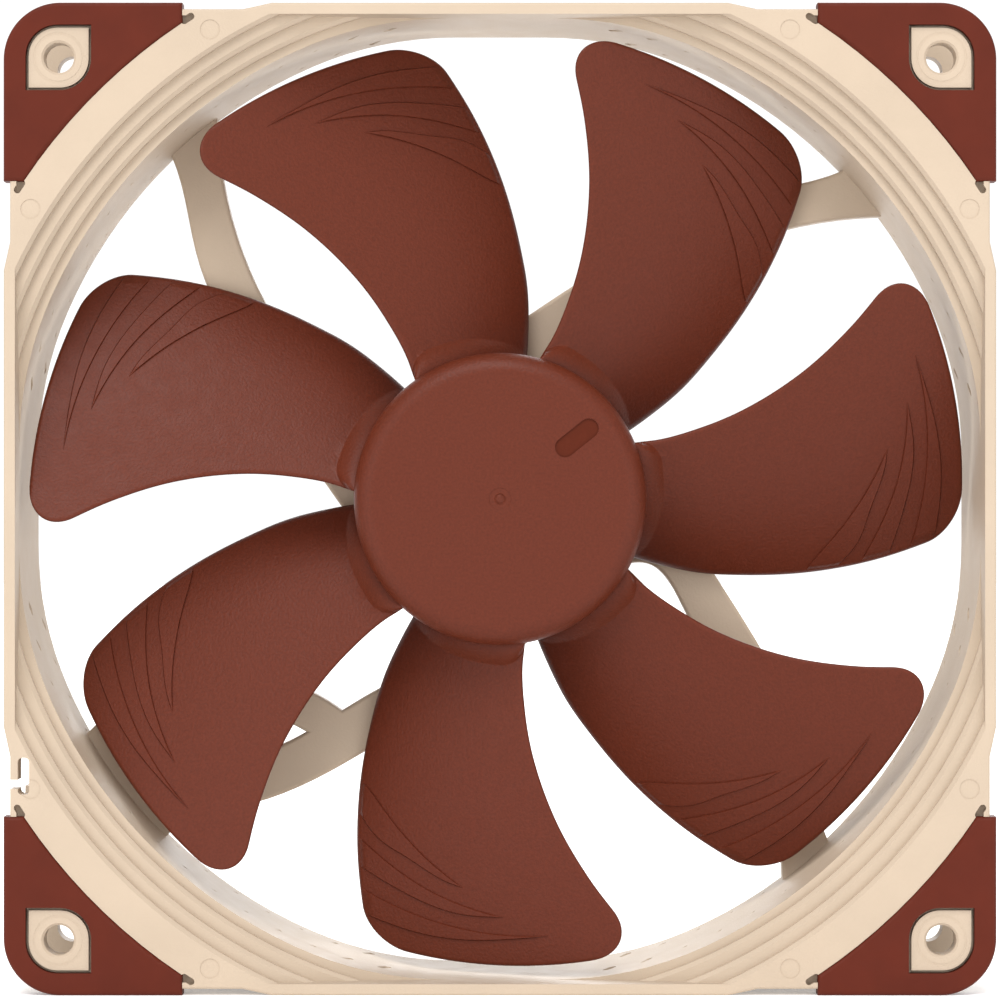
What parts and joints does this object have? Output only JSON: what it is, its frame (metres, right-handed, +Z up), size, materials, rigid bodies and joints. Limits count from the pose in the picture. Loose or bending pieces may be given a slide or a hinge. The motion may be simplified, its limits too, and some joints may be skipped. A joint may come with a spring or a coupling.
{
  "type": "case fan",
  "caption": "Square computer case fan with a stepped beige frame, a brown bladed impeller on a motor hub, curved struts and rubber corner pads.",
  "frame": {"origin": "centre of the fan, on the rotor's axis at half the fan's depth", "axes": "-Y towards the intake side, along the rotor's axis; +Z up; +X to the right as seen from the intake side"},
  "size_m": [0.14, 0.025, 0.14],
  "materials": {
    "frame_plastic": "warm beige moulded plastic, satin, with a fine grain",
    "rotor_plastic": "reddish brown moulded plastic, matte, fine grain",
    "pad_rubber": "brown silicone rubber, smooth and matte",
    "steel": "ground steel",
    "brass": "turned brass",
    "magnet": "dark bonded ferrite",
    "bearing_metal": "oil-filled sintered bronze",
    "laminations": "stacked electrical steel sheets",
    "copper": "enamelled copper wire",
    "black_plastic": "black moulded plastic",
    "board": "green solder mask on glass epoxy",
    "ceramic": "fired ceramic with tinned ends",
    "label": "blank satin label film"
  },
  "bodies": {
    "housing": {"frame": "frame_plastic", "front_pad_top_left": "pad_rubber", "front_pad_top_right": "pad_rubber", "front_pad_bottom_left": "pad_rubber", "front_pad_bottom_right": "pad_rubber", "rear_pad_top_left": "pad_rubber", "rear_pad_top_right": "pad_rubber", "rear_pad_bottom_left": "pad_rubber", "rear_pad_bottom_right": "pad_rubber", "bearing_tube": "brass", "sleeve_bearing": "bearing_metal", "thrust_pad": "black_plastic", "stabilising_magnet": "magnet", "oil_seal_washer": "black_plastic", "stator_core": "laminations", "insulator_front": "black_plastic", "insulator_rear": "black_plastic", "coil_1": "copper", "coil_2": "copper", "coil_3": "copper", "coil_4": "copper", "winding_pins": "steel", "circuit_board": "board", "driver_chip": "black_plastic", "hall_sensor": "black_plastic", "chip_capacitors": "ceramic", "motor_label": "label"},
    "rotor": {"impeller": "rotor_plastic", "hub_insert": "brass", "rotor_yoke": "steel", "rotor_magnet": "magnet", "shaft": "steel", "retaining_ring": "steel"}
  },
  "joints": [
    {"name": "rotor_spin", "type": "hinge", "parent": "housing", "child": "rotor", "pos_m": [0, 0, 0], "axis": [0, -1, 0], "continuous": true}
  ]
}
